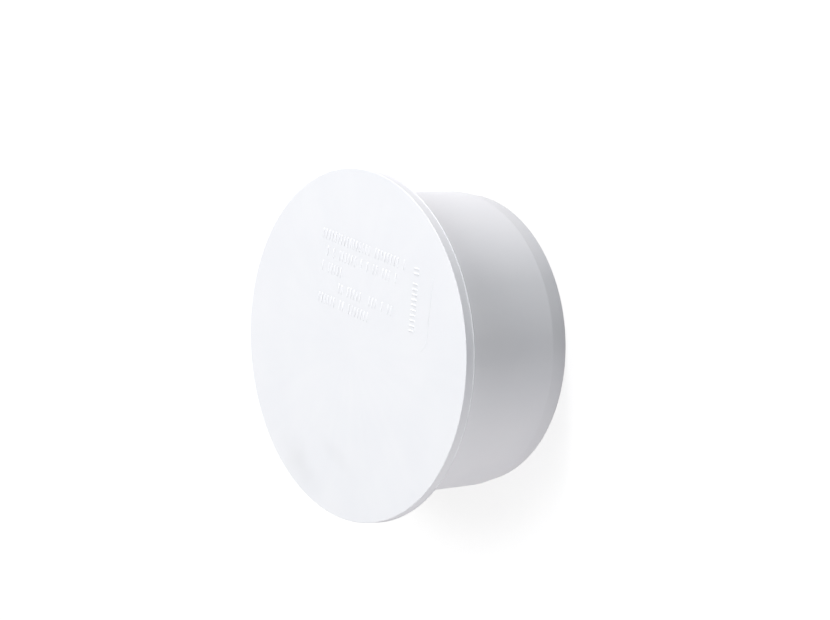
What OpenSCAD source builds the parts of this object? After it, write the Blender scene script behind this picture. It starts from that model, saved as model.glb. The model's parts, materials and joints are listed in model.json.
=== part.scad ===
// Push-in end cap for a drain pipe socket, moulded in one piece of plastic.
// A flat round flange closes one end of a short hollow spigot.
// The cap stands on the open end of its spigot, with its axis on Z and the closed face on top.

/* [Spigot] */
// Outer diameter of the spigot, the nominal size of the socket that it closes
spigot_d = 75; // [40:0.5:160]
// Length of the spigot, from the shoulder under the flange to the open end
spigot_len = 34.7; // [20:0.1:80]
// Thickness of the spigot's wall at the open end, before the lead-in is taken off
wall_t = 2.5; // [2:0.1:5]
// Slope of the inside wall in degrees, which lets the moulding leave its core
draft = 0.5; // [0:0.1:1.5]

/* [Lead-in] */
// Length of the taper that guides the spigot past the socket's seal
lead_len = 4.9; // [2:0.1:10]
// How far the taper comes in from the outside of the spigot, on the radius
lead_in = 0.8; // [0.3:0.1:1.1]
// Radius that blends the taper into the straight part of the spigot
lead_blend_r = 3; // [1:0.5:6]
// Rounding where the taper meets the open end
mouth_outer_r = 0.4; // [0.1:0.05:0.5]
// Rounding on the inner edge of the open end
mouth_inner_r = 0.3; // [0.1:0.05:0.4]

/* [Flange] */
// How far the flange stands out past the spigot, all the way round
lip_w = 6; // [3:0.1:15]
// Thickness of the flange and of the closed end
disc_t = 2.9; // [1.6:0.1:5]
// Rounding on the edge of the closed face
face_edge_r = 0.35; // [0.1:0.05:0.7]
// Rounding on the back edge of the flange
back_edge_r = 0.4; // [0.1:0.05:0.7]

/* [Corners] */
// Fillet in the corner between the spigot and the shoulder
shoulder_fillet_r = 0.5; // [0.1:0.1:1.5]
// Fillet in the corner between the inside wall and the closed end
floor_fillet_r = 1.5; // [0.5:0.1:4]

/* [Gate mark] */
// Diameter of the shallow dish inside the closed end, where the plastic was let in
gate_dish_d = 9; // [6:0.5:16]
// Depth of that dish
gate_dish_depth = 0.4; // [0.2:0.1:0.8]
// Diameter of the stub that the broken-off sprue left in the dish
gate_stub_d = 2; // [1:0.1:4]
// Height of that stub above the bottom of the dish
gate_stub_h = 0.3; // [0.1:0.1:0.5]

/* [Hidden] */
$fn = 160;
// Steps in which a rounded corner is drawn
corner_steps = 8;
spigot_r = spigot_d / 2;
flange_r = spigot_r + lip_w;
cap_h = spigot_len + disc_t;
lead_end_r = spigot_r - lead_in;
bore_mouth_r = spigot_r - wall_t;
bore_floor_r = bore_mouth_r - spigot_len * tan(draft);
gate_dish_r = gate_dish_d / 2;
gate_dish_z = spigot_len + gate_dish_depth;
gate_stub_r = gate_stub_d / 2;
gate_stub_z = gate_dish_z - gate_stub_h;

function unit(v) = v / norm(v);
function heading(v) = atan2(v.y, v.x);

// The shorter way round from one heading to another, in degrees
function turn(from, to) = (to - from + 540) % 360 - 180;

// Points of the arc that rounds the corner at tip and touches both of its sides
function round_corner(before, tip, after, r) =
    let(
        side_in = unit(before - tip),
        side_out = unit(after - tip),
        half_angle = acos(side_in * side_out) / 2,
        centre = tip + r / sin(half_angle) * unit(side_in + side_out),
        touch = r / tan(half_angle),
        start = heading(tip + touch * side_in - centre),
        sweep = turn(start, heading(tip + touch * side_out - centre))
    )
    [for (i = [0:corner_steps])
        centre + r * [cos(start + sweep * i / corner_steps), sin(start + sweep * i / corner_steps)]];

// An outline from its corners, each given as [radius from the axis, height, rounding]
function rounded_outline(corners) =
    let(
        count = len(corners),
        tips = [for (c = corners) [c.x, c.y]]
    )
    [for (i = [0:count - 1])
        each corners[i].z == 0
            ? [tips[i]]
            : round_corner(tips[(i + count - 1) % count], tips[i], tips[(i + 1) % count], corners[i].z)];

// Half of the cap's section: from the gate out and down the inside to the mouth, then up the
// outside, round the flange and back to the axis
module section() {
    polygon(rounded_outline([
        [0, gate_stub_z, 0],
        [gate_stub_r, gate_stub_z, 0],
        [gate_stub_r, gate_dish_z, 0],
        [gate_dish_r, gate_dish_z, 0],
        [gate_dish_r, spigot_len, 0],
        [bore_floor_r, spigot_len, floor_fillet_r],
        [bore_mouth_r, 0, mouth_inner_r],
        [lead_end_r, 0, mouth_outer_r],
        [spigot_r, lead_len, lead_blend_r],
        [spigot_r, spigot_len, shoulder_fillet_r],
        [flange_r, spigot_len, back_edge_r],
        [flange_r, cap_h, face_edge_r],
        [0, cap_h, 0]
    ]));
}

// The whole cap: flange, closed end and spigot are one moulding
module end_cap() {
    color("whitesmoke") rotate_extrude() section();
}

end_cap();
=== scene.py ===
"""A push-in pipe end cap in white moulded plastic. It stands on the open end of its spigot, and the
camera looks down on the closed face, turned on its side so that the cap's axis lies across the view."""
import json
import math

import bpy
from mathutils import Matrix, Vector


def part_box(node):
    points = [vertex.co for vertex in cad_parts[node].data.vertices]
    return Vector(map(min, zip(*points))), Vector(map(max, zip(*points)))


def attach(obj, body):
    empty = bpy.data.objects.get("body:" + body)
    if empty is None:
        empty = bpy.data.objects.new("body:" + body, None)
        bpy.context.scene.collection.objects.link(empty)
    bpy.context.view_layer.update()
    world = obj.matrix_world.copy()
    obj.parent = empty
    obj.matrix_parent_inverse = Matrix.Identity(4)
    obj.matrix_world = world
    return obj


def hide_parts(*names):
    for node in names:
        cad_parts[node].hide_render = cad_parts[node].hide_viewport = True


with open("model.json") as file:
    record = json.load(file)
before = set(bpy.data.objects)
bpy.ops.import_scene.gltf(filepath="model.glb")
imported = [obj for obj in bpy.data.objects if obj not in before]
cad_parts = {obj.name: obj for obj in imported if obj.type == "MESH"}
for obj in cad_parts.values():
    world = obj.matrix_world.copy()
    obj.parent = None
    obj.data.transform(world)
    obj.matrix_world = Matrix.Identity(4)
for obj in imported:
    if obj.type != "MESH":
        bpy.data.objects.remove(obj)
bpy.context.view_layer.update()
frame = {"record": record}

MM = 0.001
SLOT = "white_plastic"
mounts = {mount["name"]: mount for mount in frame["record"]["mounts"]}
cap_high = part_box("end_cap")[1]

# Sizes of the moulding that the frame gives
flange_r = cap_high.x
face_z = cap_high.z
shoulder_z = mounts["shoulder"]["pos_m"][2]
spigot_r = mounts["spigot"]["dims"]["r_mm"] * MM

# Sizes of the moulding that only its section has
WALL = 2.5 * MM
DRAFT = math.radians(0.5)
LEAD_LEN = 4.9 * MM
LEAD_IN = 0.8 * MM
LEAD_BLEND_R = 3.0 * MM
MOUTH_OUTER_R = 0.4 * MM
MOUTH_INNER_R = 0.3 * MM
BACK_EDGE_R = 0.4 * MM
SHOULDER_FILLET_R = 0.5 * MM
FLOOR_FILLET_R = 1.5 * MM
GATE_DISH_R = 4.5 * MM
GATE_DISH_DEPTH = 0.4 * MM
GATE_STUB_R = 1.0 * MM
GATE_STUB_H = 0.3 * MM

# The edge of the closed face, a little sharper than the part's, so that it catches no bright line
FACE_EDGE_R = 0.18 * MM

# The fine line that the two halves of the mould left round the rim, just above its back edge
SEAM_RELIEF = 0.15 * MM
SEAM_WIDE = 0.16 * MM
SEAM_ABOVE = 0.42 * MM
SEAM_EDGE_R = 0.03 * MM

# How finely round shapes are drawn, and how close together points are merged
TURN_STEPS = 288
CORNER_STEPS = 8
BAR_END_STEPS = 4
HAIRLINE_STEPS = 48
HAIRLINE_SIDES = 10
WELD = 0.001 * MM

# The raised bars on the closed face: five rows that lean across the cap, and one row beside them
BAR_LONG = 2.45 * MM
BAR_WIDE = 0.5 * MM
BAR_RELIEF = 0.075 * MM
BAR_SUNK = 0.05 * MM
BAR_PITCH = 1.25 * MM
ROW_PITCH = 4.0 * MM
ROWS_AT = (15.7, -5.3)
ROWS_TURN = math.radians(-109.6)
SIDE_BAR_LONG = 2.0 * MM
SIDE_AT = (9.2, -25.9)
SIDE_TURN = math.radians(164.2)

# Each row's first column and number of columns, and the share of bars left out at random.
# The side row's tree has a second row, which is empty, because a switch holds two values or more.
ROW_STARTS = (0, 1, 0, 7, 1)
ROW_COUNTS = (27, 24, 8, 18, 17)
SIDE_STARTS = (0, 0)
SIDE_COUNTS = (13, 0)
GAP_SHARE = 0.18
ROWS_SEED = 3
SIDE_SEED = 1

# The steps in which a bar rises: share of its height, and how much of its width it then keeps
BAR_STEPS = ((0.75, 0.9), (0.25, 0.78))

# The hairline that the mould's insert left on the closed face
HAIRLINE_WIDE = 0.16 * MM
HAIRLINE_RELIEF = 0.05 * MM
HAIRLINE_BEND_R = 2.0 * MM
HAIRLINE_CORNERS = ((15.5, -34.2), (-1.4, -29.0), (-3.7, -26.1))

# How soon the hairline reaches its full width from either tip, and its share of the width there
HAIRLINE_SWELL = 12.0
HAIRLINE_TIP = 0.1

# Greyer patches on the closed face: centre, turn in degrees, length, width and how strong it is.
# Two are near the edge, and the third is painted shade along the hairline.
PATCHES = (
    ((-28.2, 25.6), 49, 36, 13, 1.0),
    ((-26.2, 10.9), 53, 24, 7, 0.45),
    ((7.0, -31.6), -17, 18, 0.7, 1.3),
)

# How deep a patch reaches, how far its rim frays and where its fading starts, both in half sizes
PATCH_DEPTH = 3 * MM
PATCH_FRAYING = 0.25
PATCH_FADES_FROM = -0.1

# White plastic: the two tones that it clouds between, how much a patch greys and dulls it, and the
# shares of the flow's streaks and of the clouds in its tone
BODY_DARK = (0.852, 0.865, 0.894, 1)
BODY_LIGHT = (0.876, 0.887, 0.91, 1)
# The grey that the patches blend towards, which along the hairline is painted shade
PATCH_GREY = (0.6, 0.6, 0.6, 1)
PATCH_GREYING = 0.16
PATCH_DULLING = 0.1
STREAK_SHARE = 0.3
CLOUD_SHARE = 0.7

# Its satin finish: the roughness, the gloss and how high the soft waves and the fine grain stand
SATIN_SMOOTH = 0.57
SATIN_ROUGH = 0.65
GLOSS = 0.2
WAVE_RELIEF = 0.02 * MM
GRAIN_RELIEF = 0.004 * MM

# Its patterns, in features to a metre, and how many streaks the flow fans out in
CLOUDS = 55.0
GRAIN = 2600.0
PATCH_FRAYS = 90.0
FLOW_RUN = 45.0
FLOW_STREAKS = 9.0

# The floor: its half side, its own grey, and the grey and the glow with which it is seen.
# The glow grows with the distance from the cap, so that a low view shows no horizon.
FLOOR_HALF = 4.0
FLOOR_GREY = (0.245, 0.253, 0.253, 1)
SEEN_GREY = (0.3, 0.3, 0.3, 1)
GLOW_AT_CAP = 0.8
GLOW_FAR_OFF = 1.0
GLOW_GROWS_FROM = 0.3
GLOW_GROWS_TO = 1.2

# The room around: what it gives the cap, and the white that is seen
WHITE = (1, 1, 1, 1)
ROOM_LIGHT = 0.02
SEEN_LIGHT = 1.0

# Lamps that face the cap: place, side of the square, power and tint
LAMPS = {
    "softbox_above": ((0.41, 0, 1.15), 0.8, 7.6, (1, 0.99, 0.98)),
    "softbox_overhead": ((0, 0, 1.22), 0.8, 4.0, (1, 0.99, 0.98)),
    "softbox_corner": ((0.29, -0.29, 1.15), 0.8, 2.4, (0.83, 0.91, 1)),
    "lamp_plus_x": ((1.153, -0.152, 0.3), 0.2, 10.1, (1, 0.97, 0.98)),
    "lamp_minus_x": ((-1.123, -0.409, 0.06), 0.1, 5.9, (1, 0.94, 0.955)),
    "lamp_front": ((-0.598, -1.035, 0.125), 0.2, 1.9, (0.92, 0.97, 1)),
    "lamp_back": ((0, 1.195, 0.125), 0.2, 3.0, (1, 1, 1)),
}

# Camera: where it is, the point it aims at and how far it is rolled
CAMERA_AT = Vector((-7.73, -406.07, 344.26)) * MM
CAMERA_AIM = Vector((7.87, 0, 16.63)) * MM
CAMERA_ROLL = math.radians(-93.33)
CAMERA_LENS = 90.02


def put(tree, kind, inputs=None, **settings):
    """Adds a node, sets it up and links or sets its inputs, by name or by number."""
    made = tree.nodes.new(kind)
    for name, value in settings.items():
        setattr(made, name, value)
    for key, value in (inputs or {}).items():
        if isinstance(value, bpy.types.NodeSocket):
            tree.links.new(value, made.inputs[key])
        else:
            made.inputs[key].default_value = value
    return made


def sum_up(tree, operation, first, second):
    """The result of a sum on two numbers or sockets."""
    return put(tree, "ShaderNodeMath", {0: first, 1: second}, operation=operation).outputs[0]


def new_geometry_tree(name, sizes):
    """A geometry tree with a named input for each size, and its group input and output nodes."""
    tree = bpy.data.node_groups.new(name, "GeometryNodeTree")
    tree.interface.new_socket("Geometry", in_out="INPUT", socket_type="NodeSocketGeometry")
    tree.interface.new_socket("Geometry", in_out="OUTPUT", socket_type="NodeSocketGeometry")
    for size, value in sizes.items():
        kind = "NodeSocketInt" if isinstance(value, int) else "NodeSocketFloat"
        tree.interface.new_socket(size, in_out="INPUT", socket_type=kind)
    tree.interface.new_socket("Material", in_out="INPUT", socket_type="NodeSocketMaterial")
    return tree, tree.nodes.new("NodeGroupInput").outputs, tree.nodes.new("NodeGroupOutput")


def close_tree(tree, given, result, mesh):
    """Ends a tree: instances made real, shading smooth and the material set."""
    real = put(tree, "GeometryNodeRealizeInstances", {"Geometry": mesh})
    smooth = put(tree, "GeometryNodeSetShadeSmooth", {"Geometry": real.outputs[0]})
    painted = put(
        tree,
        "GeometryNodeSetMaterial",
        {"Geometry": smooth.outputs[0], "Material": given["Material"]},
    )
    tree.links.new(painted.outputs[0], result.inputs["Geometry"])


def pick_by_index(tree, values, index):
    """A field that gives the value of the same number as the index."""
    switch = put(tree, "GeometryNodeIndexSwitch", data_type="FLOAT")
    while len(switch.index_switch_items) < len(values):
        switch.index_switch_items.new()
    tree.links.new(index, switch.inputs["Index"])
    for socket, value in zip(switch.inputs[1:], values):
        if isinstance(value, bpy.types.NodeSocket):
            tree.links.new(value, socket)
        else:
            socket.default_value = value
    return switch.outputs[0]


def make_piece(name, tree, sizes, material):
    """Runs a geometry tree with these sizes and keeps the result as a plain mesh object."""
    carrier = bpy.data.objects.new(name + "_tree", bpy.data.meshes.new(name + "_tree"))
    bpy.context.scene.collection.objects.link(carrier)
    modifier = carrier.modifiers.new("Shape", "NODES")
    modifier.node_group = tree
    sockets = {s.name: s.identifier for s in tree.interface.items_tree if s.in_out == "INPUT"}
    for size, value in {**sizes, "Material": material}.items():
        modifier[sockets[size]] = value
    bpy.context.view_layer.update()
    evaluated = carrier.evaluated_get(bpy.context.evaluated_depsgraph_get())
    mesh = bpy.data.meshes.new_from_object(evaluated)
    mesh.name = name
    piece = bpy.data.objects.new(name, mesh)
    bpy.context.scene.collection.objects.link(piece)
    bpy.data.objects.remove(carrier)
    return piece


MOULDING_SIZES = {
    "Flange Radius": flange_r,
    "Spigot Radius": spigot_r,
    "Face Height": face_z,
    "Shoulder Height": shoulder_z,
    "Wall": WALL,
    "Draft": DRAFT,
    "Lead-in Length": LEAD_LEN,
    "Lead-in Depth": LEAD_IN,
    "Gate Dish Radius": GATE_DISH_R,
    "Gate Dish Depth": GATE_DISH_DEPTH,
    "Gate Stub Radius": GATE_STUB_R,
    "Gate Stub Height": GATE_STUB_H,
    "Seam Relief": SEAM_RELIEF,
    "Seam Width": SEAM_WIDE,
    "Seam Above Shoulder": SEAM_ABOVE,
    "Floor Fillet": FLOOR_FILLET_R,
    "Mouth Inner Rounding": MOUTH_INNER_R,
    "Mouth Outer Rounding": MOUTH_OUTER_R,
    "Lead-in Blend": LEAD_BLEND_R,
    "Shoulder Fillet": SHOULDER_FILLET_R,
    "Back Edge Rounding": BACK_EDGE_R,
    "Seam Rounding": SEAM_EDGE_R,
    "Face Edge Rounding": FACE_EDGE_R,
    "Corner Steps": CORNER_STEPS,
    "Turn Steps": TURN_STEPS,
}


def moulding_corners(tree, given):
    """The section's corners as radius, height and rounding, from the gate round the mouth to the face."""
    spigot, flange = given["Spigot Radius"], given["Flange Radius"]
    face, shoulder = given["Face Height"], given["Shoulder Height"]
    slope = put(tree, "ShaderNodeMath", {0: given["Draft"]}, operation="TANGENT").outputs[0]
    bore_mouth = sum_up(tree, "SUBTRACT", spigot, given["Wall"])
    bore_floor = sum_up(tree, "SUBTRACT", bore_mouth, sum_up(tree, "MULTIPLY", shoulder, slope))
    lead_end = sum_up(tree, "SUBTRACT", spigot, given["Lead-in Depth"])
    dish = sum_up(tree, "ADD", shoulder, given["Gate Dish Depth"])
    stub = sum_up(tree, "SUBTRACT", dish, given["Gate Stub Height"])
    seam = sum_up(tree, "ADD", flange, given["Seam Relief"])
    seam_under = sum_up(tree, "ADD", shoulder, given["Seam Above Shoulder"])
    seam_top = sum_up(tree, "ADD", seam_under, given["Seam Width"])
    return (
        (0.0, stub, 0.0),
        (given["Gate Stub Radius"], stub, 0.0),
        (given["Gate Stub Radius"], dish, 0.0),
        (given["Gate Dish Radius"], dish, 0.0),
        (given["Gate Dish Radius"], shoulder, 0.0),
        (bore_floor, shoulder, given["Floor Fillet"]),
        (bore_mouth, 0.0, given["Mouth Inner Rounding"]),
        (lead_end, 0.0, given["Mouth Outer Rounding"]),
        (spigot, given["Lead-in Length"], given["Lead-in Blend"]),
        (spigot, shoulder, given["Shoulder Fillet"]),
        (flange, shoulder, given["Back Edge Rounding"]),
        (flange, seam_under, 0.0),
        (seam, seam_under, given["Seam Rounding"]),
        (seam, seam_top, given["Seam Rounding"]),
        (flange, seam_top, 0.0),
        (flange, face, given["Face Edge Rounding"]),
        (0.0, face, 0.0),
    )


def moulding_tree():
    """The cap's section, drawn from its corners, rounded and turned round the axis."""
    tree, given, result = new_geometry_tree("Turned moulding", MOULDING_SIZES)
    corners = moulding_corners(tree, given)
    index = put(tree, "GeometryNodeInputIndex").outputs[0]
    radius, height, rounding = (pick_by_index(tree, column, index) for column in zip(*corners))

    line = put(tree, "GeometryNodeMeshLine", {"Count": len(corners)})
    curve = put(tree, "GeometryNodeMeshToCurve", {"Mesh": line.outputs[0]})
    spot = put(tree, "ShaderNodeCombineXYZ", {"X": radius, "Z": height}).outputs[0]
    drawn = put(tree, "GeometryNodeSetPosition", {"Geometry": curve.outputs[0], "Position": spot})
    section = put(
        tree,
        "GeometryNodeFilletCurve",
        {"Curve": drawn.outputs[0], "Count": given["Corner Steps"], "Radius": rounding},
        mode="POLY",
    ).outputs[0]

    points = put(tree, "GeometryNodeAttributeDomainSize", {0: section}, component="CURVE")
    around = sum_up(tree, "ADD", given["Turn Steps"], 1)
    grid = put(
        tree,
        "GeometryNodeMeshGrid",
        {"Size X": 1.0, "Size Y": 1.0, "Vertices X": around, "Vertices Y": points.outputs["Point Count"]},
    )
    place = put(tree, "GeometryNodeInputPosition").outputs[0]
    across = put(tree, "ShaderNodeSeparateXYZ", {0: place})
    share = sum_up(tree, "ADD", across.outputs["X"], 0.5)
    angle = sum_up(tree, "MULTIPLY", share, math.tau)
    last = sum_up(tree, "SUBTRACT", points.outputs["Point Count"], 1)
    along = sum_up(tree, "MULTIPLY", sum_up(tree, "ADD", across.outputs["Y"], 0.5), last)
    number = sum_up(tree, "ROUND", along, 0.0)
    sample = put(tree, "GeometryNodeSampleIndex", data_type="FLOAT_VECTOR", domain="POINT")
    tree.links.new(section, sample.inputs["Geometry"])
    tree.links.new(place, sample.inputs["Value"])
    tree.links.new(number, sample.inputs["Index"])
    corner = put(tree, "ShaderNodeSeparateXYZ", {0: sample.outputs[0]})
    cosine = put(tree, "ShaderNodeMath", {0: angle}, operation="COSINE").outputs[0]
    sine = put(tree, "ShaderNodeMath", {0: angle}, operation="SINE").outputs[0]
    turned = put(
        tree,
        "ShaderNodeCombineXYZ",
        {
            "X": sum_up(tree, "MULTIPLY", corner.outputs["X"], cosine),
            "Y": sum_up(tree, "MULTIPLY", corner.outputs["X"], sine),
            "Z": corner.outputs["Z"],
        },
    ).outputs[0]
    wrapped = put(tree, "GeometryNodeSetPosition", {"Geometry": grid.outputs[0], "Position": turned})
    closed = put(tree, "GeometryNodeMergeByDistance", {"Geometry": wrapped.outputs[0], "Distance": WELD})
    close_tree(tree, given, result, closed.outputs[0])
    return tree


ROWS_SIZES = {
    "Bar Length": BAR_LONG,
    "Bar Width": BAR_WIDE,
    "Relief": BAR_RELIEF,
    "Sunk": BAR_SUNK,
    "Bar Pitch": BAR_PITCH,
    "Row Pitch": ROW_PITCH,
    "Columns": max(start + count for start, count in zip(ROW_STARTS, ROW_COUNTS)),
    "Rows": len(ROW_COUNTS),
    "Gap Share": GAP_SHARE,
    "Seed": ROWS_SEED,
    "Centre X": ROWS_AT[0] * MM,
    "Centre Y": ROWS_AT[1] * MM,
    "Turn": ROWS_TURN,
    "Face Height": face_z,
}
SIDE_ROW_SIZES = {
    **ROWS_SIZES,
    "Bar Length": SIDE_BAR_LONG,
    "Columns": SIDE_COUNTS[0],
    "Rows": 1,
    "Seed": SIDE_SEED,
    "Centre X": SIDE_AT[0] * MM,
    "Centre Y": SIDE_AT[1] * MM,
    "Turn": SIDE_TURN,
}
HAIRLINE_SIZES = {
    "Line Width": HAIRLINE_WIDE,
    "Relief": HAIRLINE_RELIEF,
    "Bend Radius": HAIRLINE_BEND_R,
    "Face Height": face_z,
}


def draw_in(tree, mesh, top, given, share):
    """Draws the top of a bar in towards its spine, to this share of the bar's half width."""
    spot = put(tree, "ShaderNodeSeparateXYZ", {0: put(tree, "GeometryNodeInputPosition").outputs[0]})
    straight = sum_up(tree, "SUBTRACT", given["Bar Length"], given["Bar Width"])
    reach = sum_up(tree, "MULTIPLY", straight, 0.5)
    short_of = sum_up(tree, "MINIMUM", spot.outputs["Y"], reach)
    spine = sum_up(tree, "MAXIMUM", short_of, sum_up(tree, "MULTIPLY", reach, -1.0))
    beyond = sum_up(tree, "SUBTRACT", spot.outputs["Y"], spine)
    drawn = put(
        tree,
        "ShaderNodeCombineXYZ",
        {
            "X": sum_up(tree, "MULTIPLY", spot.outputs["X"], share),
            "Y": sum_up(tree, "ADD", spine, sum_up(tree, "MULTIPLY", beyond, share)),
            "Z": spot.outputs["Z"],
        },
    ).outputs[0]
    moved = put(tree, "GeometryNodeSetPosition", {"Geometry": mesh, "Selection": top, "Position": drawn})
    return moved.outputs[0]


def raised_bar(tree, given):
    """One bar that lies along Y, with round ends, sides that slope in and a softened top edge."""
    outline = put(
        tree,
        "GeometryNodeCurvePrimitiveQuadrilateral",
        {"Width": given["Bar Width"], "Height": given["Bar Length"]},
    )
    half = sum_up(tree, "MULTIPLY", given["Bar Width"], 0.5)
    rounded = put(
        tree,
        "GeometryNodeFilletCurve",
        {"Curve": outline.outputs[0], "Count": BAR_END_STEPS, "Radius": half},
        mode="POLY",
    )
    foot = put(tree, "GeometryNodeFillCurve", {0: rounded.outputs[0]}, mode="NGONS").outputs[0]
    whole = sum_up(tree, "ADD", given["Relief"], given["Sunk"])
    body, top = foot, True
    for part, share in BAR_STEPS:
        raised = put(
            tree,
            "GeometryNodeExtrudeMesh",
            {
                "Mesh": body,
                "Selection": top,
                "Offset": (0, 0, 1),
                "Offset Scale": sum_up(tree, "MULTIPLY", whole, part),
                "Individual": False,
            },
            mode="FACES",
        )
        top = raised.outputs["Top"]
        body = draw_in(tree, raised.outputs[0], top, given, share)
    under = put(tree, "GeometryNodeFlipFaces", {0: foot}).outputs[0]
    joined = put(tree, "GeometryNodeJoinGeometry")
    tree.links.new(body, joined.inputs[0])
    tree.links.new(under, joined.inputs[0])
    closed = put(tree, "GeometryNodeMergeByDistance", {"Geometry": joined.outputs[0], "Distance": WELD})
    return closed.outputs[0]


def rows_of_bars_tree(name, sizes, starts, counts):
    """Rows of raised bars, where each row has its own first bar and number of bars, less a few gaps."""
    tree, given, result = new_geometry_tree(name, sizes)
    index = put(tree, "GeometryNodeInputIndex").outputs[0]
    column = sum_up(tree, "MODULO", index, given["Columns"])
    row = sum_up(tree, "FLOOR", sum_up(tree, "DIVIDE", index, given["Columns"]), 0.0)
    middle_column = sum_up(tree, "MULTIPLY", sum_up(tree, "SUBTRACT", given["Columns"], 1.0), 0.5)
    middle_row = sum_up(tree, "MULTIPLY", sum_up(tree, "SUBTRACT", given["Rows"], 1.0), 0.5)
    along = sum_up(tree, "SUBTRACT", column, middle_column)
    up = sum_up(tree, "SUBTRACT", middle_row, row)
    place = put(
        tree,
        "ShaderNodeCombineXYZ",
        {
            "X": sum_up(tree, "MULTIPLY", along, given["Bar Pitch"]),
            "Y": sum_up(tree, "MULTIPLY", up, given["Row Pitch"]),
        },
    ).outputs[0]
    total = sum_up(tree, "MULTIPLY", given["Columns"], given["Rows"])
    spots = put(tree, "GeometryNodePoints", {"Count": total, "Position": place}).outputs[0]

    before_first = sum_up(tree, "SUBTRACT", pick_by_index(tree, starts, row), 0.5)
    past_last = sum_up(tree, "ADD", before_first, pick_by_index(tree, counts, row))
    in_row = sum_up(
        tree,
        "MULTIPLY",
        sum_up(tree, "GREATER_THAN", column, before_first),
        sum_up(tree, "LESS_THAN", column, past_last),
    )
    chance = put(tree, "FunctionNodeRandomValue", {"Seed": given["Seed"]}, data_type="FLOAT").outputs[1]
    filled = sum_up(tree, "GREATER_THAN", chance, given["Gap Share"])
    bars = put(
        tree,
        "GeometryNodeInstanceOnPoints",
        {
            "Points": spots,
            "Selection": sum_up(tree, "MULTIPLY", in_row, filled),
            "Instance": raised_bar(tree, given),
        },
    ).outputs[0]
    foot = sum_up(tree, "SUBTRACT", given["Face Height"], given["Sunk"])
    centre = put(tree, "ShaderNodeCombineXYZ", {"X": given["Centre X"], "Y": given["Centre Y"], "Z": foot})
    turn = put(tree, "ShaderNodeCombineXYZ", {"Z": given["Turn"]})
    placed = put(
        tree,
        "GeometryNodeTransform",
        {"Geometry": bars, "Translation": centre.outputs[0], "Rotation": turn.outputs[0]},
    )
    close_tree(tree, given, result, placed.outputs[0])
    return tree


def hairline_tree():
    """A fine raised line along its corners, which thins out at both ends."""
    tree, given, result = new_geometry_tree("Hairline", HAIRLINE_SIZES)
    index = put(tree, "GeometryNodeInputIndex").outputs[0]
    across, up = (
        pick_by_index(tree, [value * MM for value in column], index) for column in zip(*HAIRLINE_CORNERS)
    )
    line = put(tree, "GeometryNodeMeshLine", {"Count": len(HAIRLINE_CORNERS)})
    curve = put(tree, "GeometryNodeMeshToCurve", {"Mesh": line.outputs[0]})
    spot = put(tree, "ShaderNodeCombineXYZ", {"X": across, "Y": up, "Z": given["Face Height"]}).outputs[0]
    drawn = put(tree, "GeometryNodeSetPosition", {"Geometry": curve.outputs[0], "Position": spot})
    bent = put(
        tree,
        "GeometryNodeFilletCurve",
        {"Curve": drawn.outputs[0], "Count": CORNER_STEPS, "Radius": given["Bend Radius"]},
        mode="POLY",
    )
    path = put(
        tree,
        "GeometryNodeResampleCurve",
        {"Curve": bent.outputs[0], "Count": HAIRLINE_STEPS},
        mode="COUNT",
    ).outputs[0]
    upright = put(tree, "GeometryNodeSetCurveNormal", {"Curve": path}, mode="Z_UP").outputs[0]
    share = put(tree, "GeometryNodeSplineParameter").outputs["Factor"]
    left = sum_up(tree, "SUBTRACT", 1.0, share)
    swell = sum_up(tree, "MULTIPLY", sum_up(tree, "MULTIPLY", share, left), HAIRLINE_SWELL)
    width = sum_up(tree, "MAXIMUM", sum_up(tree, "MINIMUM", swell, 1.0), HAIRLINE_TIP)
    ring = put(tree, "GeometryNodeCurvePrimitiveCircle", {"Resolution": HAIRLINE_SIDES, "Radius": 0.5})
    stretch = put(
        tree,
        "ShaderNodeCombineXYZ",
        {"X": given["Line Width"], "Y": sum_up(tree, "MULTIPLY", given["Relief"], 2.0), "Z": 1.0},
    )
    profile = put(tree, "GeometryNodeTransform", {"Geometry": ring.outputs[0], "Scale": stretch.outputs[0]})
    swept = put(
        tree,
        "GeometryNodeCurveToMesh",
        {"Curve": upright, "Profile Curve": profile.outputs[0], "Scale": width, "Fill Caps": True},
    )
    close_tree(tree, given, result, swept.outputs[0])
    return tree


def keep_flats_flat(piece):
    """Shades each wide face by its own direction, so that only the rounded edges turn the light."""
    modifier = piece.modifiers.new("Flats", "WEIGHTED_NORMAL")
    modifier.mode = "FACE_AREA"
    modifier.weight = 100


def noise(tree, where, scale, detail=2.0):
    """A soft random pattern, with this many features to a metre."""
    inputs = {"Vector": where, "Scale": scale, "Detail": detail}
    return put(tree, "ShaderNodeTexNoise", inputs).outputs[0]


def between(tree, value, low, high, result_low, result_high):
    """Spreads the values from low to high smoothly over another range."""
    inputs = {0: value, 1: low, 2: high, 3: result_low, 4: result_high}
    return put(tree, "ShaderNodeMapRange", inputs, interpolation_type="SMOOTHSTEP").outputs[0]


def blend(tree, share, first, second):
    """A colour that goes from the first to the second as the share goes from 0 to 1."""
    inputs = {"Factor": share, 6: first, 7: second}
    return put(tree, "ShaderNodeMix", inputs, data_type="RGBA").outputs[2]


def flow_marks(tree, where):
    """The fan of faint streaks in which the plastic ran out from the middle and down the spigot."""
    spot = put(tree, "ShaderNodeSeparateXYZ", {0: where})
    flat = put(tree, "ShaderNodeCombineXYZ", {"X": spot.outputs["X"], "Y": spot.outputs["Y"]}).outputs[0]
    outward = put(tree, "ShaderNodeVectorMath", {0: flat}, operation="NORMALIZE").outputs[0]
    spread = put(tree, "ShaderNodeVectorMath", {0: outward, "Scale": FLOW_STREAKS}, operation="SCALE")
    run = put(tree, "ShaderNodeVectorMath", {0: where, "Scale": FLOW_RUN}, operation="SCALE")
    both = {0: spread.outputs[0], 1: run.outputs[0]}
    fanned = put(tree, "ShaderNodeVectorMath", both, operation="ADD").outputs[0]
    return noise(tree, fanned, 1.0, 3.0)


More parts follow.
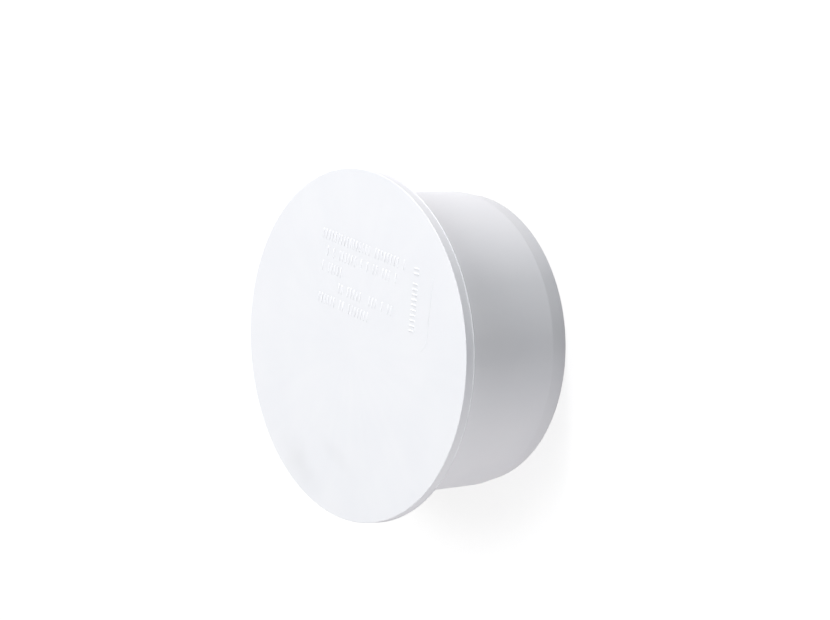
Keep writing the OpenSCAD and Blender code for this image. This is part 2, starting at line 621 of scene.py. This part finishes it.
def patch_mask(tree, where, frays, centre, turn, length, width, strength):
    """The mask of a grey patch on the closed face: at its strength in the middle and gone at the rim."""
    local = put(
        tree,
        "ShaderNodeMapping",
        {
            "Vector": where,
            "Location": (centre[0] * MM, centre[1] * MM, face_z),
            "Rotation": (0, 0, math.radians(turn)),
            "Scale": (length * MM / 2, width * MM / 2, PATCH_DEPTH),
        },
        vector_type="TEXTURE",
    ).outputs[0]
    away = put(tree, "ShaderNodeVectorMath", {0: local}, operation="LENGTH").outputs["Value"]
    ragged = sum_up(tree, "ADD", away, frays)
    return between(tree, ragged, PATCH_FADES_FROM, 1.0, strength, 0.0)


def white_plastic():
    """Satin white polypropylene as it leaves the mould, greyer in patches near one edge of the face and
    with painted shade along the hairline.
    """
    material = bpy.data.materials.new(SLOT)
    material.use_nodes = True
    tree = material.node_tree
    shader = tree.nodes["Principled BSDF"]
    where = put(tree, "ShaderNodeTexCoord").outputs["Object"]

    flow = flow_marks(tree, where)
    cloud = noise(tree, where, CLOUDS, 3.0)
    streaks = between(tree, flow, 0.3, 0.7, 0.0, STREAK_SHARE)
    shade = sum_up(tree, "ADD", streaks, between(tree, cloud, 0.3, 0.7, 0.0, CLOUD_SHARE))
    body = blend(tree, shade, BODY_DARK, BODY_LIGHT)
    frays = between(tree, noise(tree, where, PATCH_FRAYS), 0.25, 0.75, -PATCH_FRAYING, PATCH_FRAYING)
    # The greyer patches grey the colour and dull the finish; the one along the hairline is painted shade
    patches_and_painted_shade = 0.0
    for patch in PATCHES:
        patches_and_painted_shade = sum_up(tree, "MAXIMUM", patches_and_painted_shade, patch_mask(tree, where, frays, *patch))
    colour = blend(tree, sum_up(tree, "MULTIPLY", patches_and_painted_shade, PATCH_GREYING), body, PATCH_GREY)
    tree.links.new(colour, shader.inputs["Base Color"])

    grain = noise(tree, where, GRAIN)
    satin = between(tree, sum_up(tree, "ADD", flow, grain), 0.7, 1.3, SATIN_SMOOTH, SATIN_ROUGH)
    dulled = sum_up(tree, "ADD", satin, sum_up(tree, "MULTIPLY", patches_and_painted_shade, PATCH_DULLING))
    tree.links.new(dulled, shader.inputs["Roughness"])

    waves = put(tree, "ShaderNodeBump", {"Height": cloud, "Strength": 1.0, "Distance": WAVE_RELIEF})
    skin = put(
        tree,
        "ShaderNodeBump",
        {"Height": grain, "Strength": 1.0, "Distance": GRAIN_RELIEF, "Normal": waves.outputs[0]},
    )
    tree.links.new(skin.outputs[0], shader.inputs["Normal"])
    shader.inputs["Specular IOR Level"].default_value = GLOSS
    return material


def seen_rays(tree):
    """Is 1 for the rays in which a surround is seen: by the camera, in a gloss or through glass."""
    path = put(tree, "ShaderNodeLightPath").outputs
    direct = sum_up(tree, "MAXIMUM", path["Is Camera Ray"], path["Is Glossy Ray"])
    return sum_up(tree, "MAXIMUM", direct, path["Is Transmission Ray"])


def floor_material():
    """A pale floor that shows white, to the eye and in the gloss, wherever the cap doesn't shade it."""
    material = bpy.data.materials.new("pale_floor")
    material.use_nodes = True
    tree = material.node_tree
    tree.nodes.clear()
    plain = put(tree, "ShaderNodeBsdfDiffuse", {"Color": FLOOR_GREY})
    seen = put(tree, "ShaderNodeBsdfDiffuse", {"Color": SEEN_GREY})
    where = put(tree, "ShaderNodeTexCoord").outputs["Object"]
    away = put(tree, "ShaderNodeVectorMath", {0: where}, operation="LENGTH").outputs["Value"]
    strength = between(tree, away, GLOW_GROWS_FROM, GLOW_GROWS_TO, GLOW_AT_CAP, GLOW_FAR_OFF)
    glow = put(tree, "ShaderNodeEmission", {"Color": WHITE, "Strength": strength})
    shown = put(tree, "ShaderNodeAddShader", {0: seen.outputs[0], 1: glow.outputs[0]})
    mixed = put(
        tree,
        "ShaderNodeMixShader",
        {0: seen_rays(tree), 1: plain.outputs[0], 2: shown.outputs[0]},
    )
    out = put(tree, "ShaderNodeOutputMaterial")
    tree.links.new(mixed.outputs[0], out.inputs["Surface"])
    return material


def make_floor():
    """The pale floor under the cap."""
    corners = [(x * FLOOR_HALF, y * FLOOR_HALF, 0) for x, y in ((-1, -1), (1, -1), (1, 1), (-1, 1))]
    mesh = bpy.data.meshes.new("floor")
    mesh.from_pydata(corners, [], [(0, 1, 2, 3)])
    mesh.materials.append(floor_material())
    floor = bpy.data.objects.new("floor", mesh)
    bpy.context.scene.collection.objects.link(floor)


def make_world():
    """A little even light from all round, and a white surround wherever it is seen."""
    world = bpy.data.worlds.new("studio")
    bpy.context.scene.world = world
    world.use_nodes = True
    tree = world.node_tree
    tree.nodes.clear()
    room = put(tree, "ShaderNodeBackground", {"Color": WHITE, "Strength": ROOM_LIGHT})
    white = put(tree, "ShaderNodeBackground", {"Color": WHITE, "Strength": SEEN_LIGHT})
    mixed = put(
        tree,
        "ShaderNodeMixShader",
        {0: seen_rays(tree), 1: room.outputs[0], 2: white.outputs[0]},
    )
    out = put(tree, "ShaderNodeOutputWorld")
    tree.links.new(mixed.outputs[0], out.inputs["Surface"])


def look_from(place, aim):
    """The matrix of something at place whose -Z points at aim."""
    turn = (aim - place).to_track_quat("-Z", "Y")
    return Matrix.Translation(place) @ turn.to_matrix().to_4x4()


def make_lamp(name, place, size, power, tint):
    """A square soft light that faces the cap."""
    light = bpy.data.lights.new(name, "AREA")
    light.shape = "SQUARE"
    light.size = size
    light.energy = power
    light.color = tint
    lamp = bpy.data.objects.new(name, light)
    lamp.matrix_world = look_from(Vector(place), Vector((0, 0, face_z / 2)))
    bpy.context.scene.collection.objects.link(lamp)


def make_camera():
    """The camera, at the angle from which the cap is seen."""
    data = bpy.data.cameras.new("camera")
    data.lens = CAMERA_LENS
    data.clip_start = 0.01
    camera = bpy.data.objects.new("camera", data)
    camera.matrix_world = look_from(CAMERA_AT, CAMERA_AIM) @ Matrix.Rotation(CAMERA_ROLL, 4, "Z")
    bpy.context.scene.collection.objects.link(camera)
    bpy.context.scene.camera = camera


plastic = white_plastic()
cap = make_piece("cap_moulding", moulding_tree(), MOULDING_SIZES, plastic)
keep_flats_flat(cap)
rows_tree = rows_of_bars_tree("Rows of bars", ROWS_SIZES, ROW_STARTS, ROW_COUNTS)
rows = make_piece("raised_rows", rows_tree, ROWS_SIZES, plastic)
side_tree = rows_of_bars_tree("Side row of bars", SIDE_ROW_SIZES, SIDE_STARTS, SIDE_COUNTS)
side_row = make_piece("raised_side_row", side_tree, SIDE_ROW_SIZES, plastic)
hairline = make_piece("hairline", hairline_tree(), HAIRLINE_SIZES, plastic)
for piece in (cap, rows, side_row, hairline):
    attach(piece, "root")
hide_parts("end_cap")

make_floor()
make_world()
for name, lamp in LAMPS.items():
    make_lamp(name, *lamp)
make_camera()
bpy.context.scene.view_settings.view_transform = "Standard"
